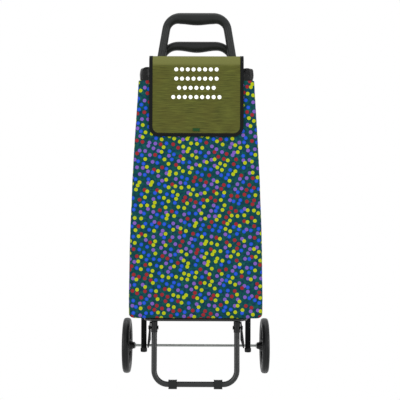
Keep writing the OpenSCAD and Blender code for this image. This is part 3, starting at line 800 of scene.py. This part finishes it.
def makeBag():
    near, far = bag["front"] + 5 * mm, bag["back"]
    half = bagHalf(bag["low"])
    body = drawLoop("bag_shell", half, near, far, bag["low"], bag["fold"], 33, 21)
    # round the bottom edge, then up the tapering sides
    heights = [bag["low"] + bag["corner"] * (1 - cos(radians(a))) for a in (22, 42, 60, 76, 90)]
    steps = round((bag["top"] - heights[-1]) / bag["ringStep"])
    heights += [heights[-1] + (bag["top"] - heights[-1]) * k / steps for k in range(1, steps + 1)]
    z, deep = bag["low"], far - near
    for height in heights:
        under = max(0, 1 - (height - bag["low"]) / (bag["corner"] * 0.8))
        wantedDeep = far - bag["front"] - 5 * mm * under ** 2
        pullRing(height - z, bagHalf(height) / half, wantedDeep / deep, (0, far, height))
        z, half, deep = height, bagHalf(height), wantedDeep
    pick("EDGE", lambda co, d: co.z < bag["low"] + 0.01 * mm)
    bpy.ops.mesh.edge_face_add()
    bpy.ops.mesh.inset(thickness=12 * mm)
    pickAll()
    bpy.ops.mesh.normals_make_consistent(inside=False)
    closePiece(body)
    sagBag(body)
    applyModifier(body, "SUBSURF", levels=1, render_levels=1)
    layCloth(body, panelPlace)
    for cloth in (printedCloth, liningCloth, nylonCloth):
        body.data.materials.append(cloth)
    for face in body.data.polygons:
        if face.center.z < bag["low"] + 1.5 * mm and face.normal.z < -0.8:
            face.material_index = 2
    applyModifier(body, "SOLIDIFY", thickness=bag["cloth"], offset=-1, use_even_offset=True)
    # the inner wall wears the lining
    for face in body.data.polygons:
        inward = Vector((-face.center.x, (bag["front"] + bag["back"]) / 2 - face.center.y, 0))
        if face.normal.z > 0.8 and face.center.z < bag["low"] + 20 * mm:
            face.material_index = 1
        elif face.material_index == 0 and face.normal.xy.dot(inward.xy) > 0 and face.normal.z < 0.8:
            face.material_index = 1
    closePiece(body, 50)
    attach(body, "frame")
    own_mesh(body)
    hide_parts("bag_front_panel", "bag_side_left", "bag_side_right", "bag_bottom_panel")


backPanel = {
    "low": 770 * mm, "halfLow": 134 * mm, "halfTop": 116 * mm, "cloth": 2 * mm,
    "seam": 2.5 * mm,                                        # how far it reaches up into the flap's seam
    "tapeWide": 7.5 * mm, "tapeThick": 3.4 * mm,
}


def makeBackPanel():
    # the bag's back carries on above its mouth up to the flap's seam; tape binds its two edges
    top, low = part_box("bag_back_panel")[1].z + backPanel["seam"], backPanel["low"]
    halfLow, halfTop = backPanel["halfLow"], backPanel["halfTop"]
    y = bag["back"] - backPanel["cloth"] / 2
    bpy.ops.mesh.primitive_plane_add(size=1, location=(0, y, (top + low) / 2), rotation=(pi / 2, 0, 0))
    panel = openPiece("bag_back_upper")
    grow((2 * halfLow, 1, top - low), (0, y, (top + low) / 2))
    pick("EDGE", lambda co, d: co.z > top - mm)
    grow((halfTop / halfLow, 1, 1), (0, y, top))
    pickAll()
    bpy.ops.mesh.subdivide(number_cuts=11)
    closePiece(panel)
    for v in panel.data.vertices:
        rise = (v.co.z - low) / (top - low)
        v.co.y += 1.2 * mm * drift(v.co.x, 4, v.co.z, 0.05) * sin(pi * rise)
    layCloth(panel, panelPlace)
    applyModifier(panel, "SOLIDIFY", thickness=backPanel["cloth"], offset=0)
    closePiece(panel)
    wear(panel, printedCloth, "printed_polyester", "frame", "bag_back_panel")
    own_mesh(panel)

    tapes = []
    for side in (-1, 1):
        low3 = Vector((side * halfLow, y, low))
        top3 = Vector((side * halfTop, y, top))
        bpy.ops.mesh.primitive_cube_add(size=1, location=(low3 + top3) / 2)
        tape = openPiece("tape")
        length = (top3 - low3).length
        grow((backPanel["tapeWide"], backPanel["tapeThick"], length), (low3 + top3) / 2)
        turn(-side * atan((halfLow - halfTop) / (top - low)), "Y", (low3 + top3) / 2)
        pickAll()
        bpy.ops.mesh.subdivide(number_cuts=3)
        closePiece(tape)
        softenEdges(tape, 0.8 * mm)
        tapes.append(closePiece(tape))
    tape = joinPieces(tapes[0], tapes[1:])
    tape.name = "bag_back_binding"
    layCloth(tape, trimPlace)
    wear(tape, bindingTape, "binding_tape", "frame")
    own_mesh(tape)


collar = {
    # rings from the seam inside the bag's top up over the shoulder to the rolled mouth:
    # height, half width, share of the way from the bag's outline to the mouth's in Y, pucker
    "rings": [(765, 142.2, 0.0, 0.0), (771, 141.6, 0.0, 0.3), (774, 141.8, 0.0, 1.6), (781, 141.8, 0.0, 3.0),
              (788, 141.4, 0.005, 3.8), (796, 140.6, 0.01, 4.0), (802, 139.6, 0.015, 4.0),
              (804.8, 136.8, 0.04, 4.0), (805.6, 128, 0.16, 3.8), (805.6, 116, 0.34, 3.6),
              (807, 104, 0.54, 3.6), (810.5, 92, 0.74, 3.6), (814.5, 83, 0.89, 3.4), (817.5, 77.5, 0.98, 3.0),
              (819, 75.5, 1.0, 2.4), (816.5, 74.0, 1.0, 2.0), (810, 73.5, 1.0, 1.8)],
    "mouthY": 46 * mm, "pleats": 46, "cloth": 0.8 * mm,
}


def makeCollar():
    near, far = bag["front"] + 2.2 * mm, bag["back"] - 2.2 * mm
    middle = (near + far) / 2
    reach = (far - near) / 2
    height, half = collar["rings"][0][:2]
    obj = drawLoop("bag_collar_cloth", half * mm, near, far, height * mm, 9 * mm, 59, 45)
    z, wide, deep = height, half, reach
    for height, half, share, _ in collar["rings"][1:]:
        wanted = reach + (collar["mouthY"] - reach) * share
        pullRing((height - z) * mm, half / wide, wanted / deep, (0, middle, height * mm))
        z, wide, deep = height, half, wanted
    closePiece(obj)
    # rings come out of the extrusions one after another, each with the same number of vertices
    count = len(obj.data.vertices) // len(collar["rings"])
    for number, (height, half, share, pucker) in enumerate(collar["rings"]):
        wanted = reach + (collar["mouthY"] - reach) * share
        for v in obj.data.vertices[number * count:(number + 1) * count]:
            across = v.co.x / (half * mm)
            deepShare = (v.co.y - middle) / wanted
            # distance round a unit square, so that a pleat stays on one line from seam to mouth
            if abs(deepShare) >= abs(across):
                around = 1 + across if deepShare < 0 else 5 - across
            else:
                around = 3 + deepShare if across > 0 else 7 - deepShare
            fan = sin(2 * pi * collar["pleats"] * around / 8 + 1.5 * drift(around, 2, 0, 0.6))
            deepness = 0.75 + 0.6 * drift(around, 5, number * 0.05, 0.35)
            crinkle = (1.3 * drift(around, 9, number * 0.11, 0.16)
                       + 0.9 * drift(around, 13, number * 0.05, 0.07))
            push = pucker * mm * (0.55 * fan * deepness + crinkle)
            side = Vector((across, 0, 0)) if abs(across) > abs(deepShare) else Vector((0, deepShare, 0))
            side.normalize()
            level = min(1, share * 3 + max(0, (height - 800) / 12))
            v.co += side * push * (1 - 0.5 * level) * (0.6 if side.y else 1)
            v.co.z += push * level
    obj.data.update()
    bpy.ops.object.mode_set(mode="EDIT")
    pickAll()
    bpy.ops.mesh.normals_make_consistent(inside=False)
    closePiece(obj)

    def collarPlace(co, normal):
        if abs(co.y - middle) > 0.7 * abs(co.x):
            return co.x, co.y + co.z
        return co.y, co.x + co.z

    layCloth(obj, collarPlace)
    applyModifier(obj, "SUBSURF", levels=1, render_levels=1)
    applyModifier(obj, "SOLIDIFY", thickness=collar["cloth"], offset=-1)
    closePiece(obj, 60)
    wear(obj, nylonCloth, "black_nylon", "frame", "bag_collar")
    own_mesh(obj)


makeBag()
makeBackPanel()
makeCollar()
print("bag sewn")


# flap

flap = {
    "half": 118 * mm, "hingeY": axleY - 12.5 * mm, "topZ": 834 * mm, "frontY": axleY - 231.2 * mm,
    "crest": 17 * mm, "lowZ": 632 * mm, "binding": 8.5 * mm, "corner": 25 * mm,
    "cloth": 1.6 * mm, "tape": 3.0 * mm,
}
flapTop = flap["hingeY"] - flap["frontY"] - flap["crest"]       # level stretch, hinge to crest
flapCurl = flap["crest"] * pi / 2
flapLength = flapTop + flapCurl + flap["topZ"] - flap["crest"] - flap["lowZ"]


def rollOver(obj):
    # the flat flap, drawn on the floor from the hinge at y = 0 to its lower edge, is laid over the bag
    for v in obj.data.vertices:
        x, s, lift = v.co.x, -v.co.y, v.co.z
        across = x / flap["half"]
        if s < flapTop:
            share = max(0, s / flapTop)
            sag = 3.2 * mm * sin(pi * share) * (1 - 0.35 * across ** 2)
            ripple = 1.0 * mm * drift(x, s, 0, 0.06) * sin(pi * share)
            v.co = (x, flap["hingeY"] - s, flap["topZ"] - sag + ripple + lift)
        elif s < flapTop + flapCurl:
            angle = (s - flapTop) / flap["crest"]
            radius = flap["crest"] + lift
            v.co = (x, flap["frontY"] + flap["crest"] - radius * sin(angle),
                    flap["topZ"] - flap["crest"] + radius * cos(angle))
        else:
            drop = s - flapTop - flapCurl
            hang = drop / (flapLength - flapTop - flapCurl)
            wave = 0.9 * mm * drift(x, drop * 0.4, 8, 0.07) + 0.5 * mm * drift(x, drop, 3, 0.025)
            wave *= min(1, 4 * hang)
            v.co = (x, flap["frontY"] - lift - max(-0.4 * mm, wave), flap["topZ"] - flap["crest"] - drop)
    obj.data.update()


def flapPlace(co, normal):
    # before rolling: across, and the height measured along the cloth from the lower edge
    return co.x, flap["lowZ"] + flapLength + co.y


def insideCloth(co):
    halfX = flap["half"] - flap["binding"]
    low = -(flapLength - flap["binding"])
    r = flap["corner"] - flap["binding"]
    over = (abs(co.x) - (halfX - r), (low + r) - co.y)
    if over[0] > 0 and over[1] > 0:
        return hypot(*over) < r
    return abs(co.x) < halfX and co.y > low


def makeFlap():
    extra = flap["binding"]
    length = flapLength + extra
    middle = (0, extra - length / 2, 0)
    bpy.ops.mesh.primitive_plane_add(size=1, location=middle)
    cloth = openPiece("flap_cloth")
    grow((2 * flap["half"], length, 1), middle)
    pick("VERT", lambda co, n: co.y < -flapLength + mm)
    bpy.ops.mesh.bevel(offset=flap["corner"], segments=10, affect="VERTICES")
    bpy.ops.mesh.select_mode(type="FACE")
    pickAll()
    bpy.ops.mesh.inset(thickness=flap["binding"])
    pickAll()
    bpy.ops.mesh.bisect(plane_co=(0, 0, 0), plane_no=(0, 1, 0), clear_outer=True)
    cuts = [((0, -k * 8 * mm, 0), (0, 1, 0)) for k in range(1, int(flapLength / (8 * mm)) + 1)]
    cuts += [((0, -flapTop - k * flapCurl / 8, 0), (0, 1, 0)) for k in range(9)]
    cuts += [((k * 12 * mm, 0, 0), (1, 0, 0)) for k in range(-9, 10)]
    for place, direction in cuts:
        pickAll()
        bpy.ops.mesh.bisect(plane_co=place, plane_no=direction)
    pickAll()
    bpy.ops.mesh.remove_doubles(threshold=0.3 * mm)
    pick("FACE", lambda co, n: not insideCloth(co))
    bpy.ops.mesh.separate(type="SELECTED")
    closePiece(cloth)
    binding = bpy.data.objects["flap_cloth.001"]
    binding.name = "flap_binding_tape"
    binding.data.name = "flap_binding_tape"
    for piece, thick in ((cloth, flap["cloth"]), (binding, flap["tape"])):
        layCloth(piece, flapPlace)
        rollOver(piece)
        applyModifier(piece, "SOLIDIFY", thickness=thick, offset=0)
    softenEdges(binding, 0.9 * mm, 50)
    closePiece(cloth, 50)
    closePiece(binding, 50)
    wear(cloth, oliveCanvas, "olive_canvas", "flap", "flap_panel")
    wear(binding, bindingTape, "binding_tape", "flap", "flap_binding")
    return cloth, binding


def makePad(name, low, high, bevel):
    # a thin upright pad with an edge step and rounded edges
    bpy.ops.mesh.primitive_cube_add(size=1, scale=high - low, location=(low + high) / 2)
    pad = openPiece(name)
    pickAll()
    bpy.ops.mesh.subdivide(number_cuts=5)
    closePiece(pad)
    softenEdges(pad, bevel)
    return closePiece(pad)


def makeFlapTrim():
    # a small woven tab above the lower edge, and the closure pads behind it
    low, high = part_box("flap_tab")
    tab = makePad("flap_tab_woven", low - Vector((0, 0.6 * mm, 0)), high, 0.4 * mm)
    layCloth(tab, trimPlace)
    wear(tab, greenTab, "green_tab", "flap", "flap_tab")
    low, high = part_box("closure_hook_patch")
    hook = makePad("closure_hook_pad", low, high - Vector((0, 0.1 * mm, 0)), 0.3 * mm)
    wear(hook, hookAndLoop, "hook_and_loop", "flap", "closure_hook_patch")
    low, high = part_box("closure_loop_patch")
    loop = makePad("closure_loop_pad", low, high, 0.2 * mm)
    wear(loop, hookAndLoop, "hook_and_loop", "frame", "closure_loop_patch")
    return tab, hook, loop


flapCloth, flapBinding = makeFlap()
flapTab, hookPad, loopPad = makeFlapTrim()
for piece in (flapCloth, flapBinding, flapTab, hookPad, loopPad):
    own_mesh(piece)
print("flap laid over the bag")


# straps

strap = {"wide": 25 * mm, "thick": 1.8 * mm, "bar": 7.1 * mm, "x": 60 * mm}


def makeStrap(name, barZ):
    # webbing sewn to the bag's back, up, once round the cross bar, and back to the bag
    x = strap["x"]
    backY = bag["back"] + 1 * mm
    route = [(backY, barZ - 28 * mm), (backY, barZ - 20 * mm), (backY + 0.3 * mm, barZ - 13 * mm),
             (backY + 2.5 * mm, barZ - 9 * mm)]
    for angle in range(235, 485, 16):
        route.append((axleY + strap["bar"] * cos(radians(angle)), barZ + strap["bar"] * sin(radians(angle))))
    route += [(backY + 2.5 * mm, barZ + 8.5 * mm), (backY + 0.3 * mm, barZ + 11 * mm),
              (backY, barZ + 15 * mm)]
    startY, startZ = route[0]
    bpy.ops.mesh.primitive_plane_add(size=strap["wide"], location=(x, startY, startZ + strap["wide"] / 2),
                                     rotation=(pi / 2, 0, 0))
    obj = openPiece(name)
    # only the lower edge is kept, and it is pulled along the route
    pick("VERT", lambda co, n: co.z > startZ + mm)
    bpy.ops.mesh.delete(type="VERT")
    bpy.ops.mesh.select_mode(type="EDGE")
    pickAll()
    bpy.ops.mesh.subdivide(number_cuts=5)
    pickAll()
    for (y0, z0), (y1, z1) in zip(route, route[1:]):
        pull((0, y1 - y0, z1 - z0))
    closePiece(obj)
    # cloth coordinates: across, and the distance walked along the route
    walked = [0.0]
    for (y0, z0), (y1, z1) in zip(route, route[1:]):
        walked.append(walked[-1] + hypot(y1 - y0, z1 - z0))

    def strapPlace(co, normal):
        near = min(range(len(route)), key=lambda i: hypot(co.y - route[i][0], co.z - route[i][1]))
        return co.x, walked[near]

    layCloth(obj, strapPlace)
    applyModifier(obj, "SOLIDIFY", thickness=strap["thick"], offset=0)
    softenEdges(obj, 0.5 * mm, 50)
    return closePiece(obj, 50)


def makeStraps():
    for node, label in (("hanging_straps", "hanging_strap"), ("lower_straps", "lower_strap")):
        low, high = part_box(node)
        right = makeStrap(label + "_right", high.z - 8 * mm)
        left = twin(right, label + "_left", mirrored=True)
        wear(right, webbing, "webbing", "frame", node)
        wear(left, webbing, "webbing", "frame")


makeStraps()
print("straps sewn")


# studio

studio = {
    "focal": 84.9, "eye": (0.010, -2.507, 0.4736), "roll": radians(-0.2),
    "sweepStart": 5.5, "sweepRadius": 1.5, "sweepBends": 12, "sweepHigh": 4,
    # name, place, aim, size in metres and watts
    "lights": [
        ("key", (-1.9, -2.6, 2.0), (0, 0, 0.5), (1.6, 1.6), 16),
        ("fill", (2.1, -2.4, 1.3), (0, 0, 0.5), (1.8, 1.8), 11),
        ("top", (0, 0.2, 3.0), (0, 0, 0.5), (2.4, 2.0), 14),
        ("left strip", (-2.0, -1.6, 0.8), (0, 0, 0.5), (0.22, 1.9), 17),
        ("right strip", (2.0, -1.3, 0.8), (0, 0, 0.5), (0.22, 1.9), 14),
        ("backdrop wash", (0, 2.0, 3.4), (0, 5.0, 1.0), (4, 1.5), 90),
    ],
}


def makeStudio():
    # white paper swept from the floor up behind the trolley
    material, tree, principled = newMaterial("white paper backdrop", Roughness=0.9)
    where = objectPlace(tree)
    mottle(tree, principled, where, ("#fbfbfb", "#fefefe"), 0.5, (0.85, 0.95))
    bpy.ops.mesh.primitive_plane_add(size=1, location=(0, 0, -0.0005))
    paper = openPiece("paper_backdrop")
    grow((30, 30, 1), (0, -9, 0))
    pick("EDGE", lambda co, d: co.y > studio["sweepStart"])
    radius, bends = studio["sweepRadius"], studio["sweepBends"]
    for k in range(1, bends + 1):
        a0, a1 = pi / 2 * (k - 1) / bends, pi / 2 * k / bends
        move = (0, radius * (sin(a1) - sin(a0)), radius * (cos(a0) - cos(a1)))
        pull(move)
    pull((0, 0, studio["sweepHigh"]))
    closePiece(paper)
    paper.data.materials.append(material)

    for name, place, aim, size, watts in studio["lights"]:
        light = bpy.data.lights.new(name, "AREA")
        light.shape = "RECTANGLE"
        light.size, light.size_y = size
        light.energy = watts
        lamp = bpy.data.objects.new(name, light)
        lamp.location = place
        lamp.rotation_euler = (Vector(aim) - Vector(place)).to_track_quat("-Z", "Y").to_euler()
        bpy.context.collection.objects.link(lamp)

    world = bpy.data.worlds.new("studio air")
    world.use_nodes = True
    background = next(n for n in world.node_tree.nodes if n.type == "BACKGROUND")
    background.inputs["Color"].default_value = (1, 1, 1, 1)
    background.inputs["Strength"].default_value = 1.0
    bpy.context.scene.world = world

    camera = bpy.data.cameras.new("camera")
    camera.lens = studio["focal"]
    camera.sensor_width = 36
    eye = bpy.data.objects.new("camera", camera)
    eye.location = studio["eye"]
    eye.rotation_euler = (pi / 2, studio["roll"], 0)
    bpy.context.collection.objects.link(eye)
    bpy.context.scene.camera = eye
    bpy.context.scene.view_settings.view_transform = "Standard"


makeStudio()
print("studio lit")
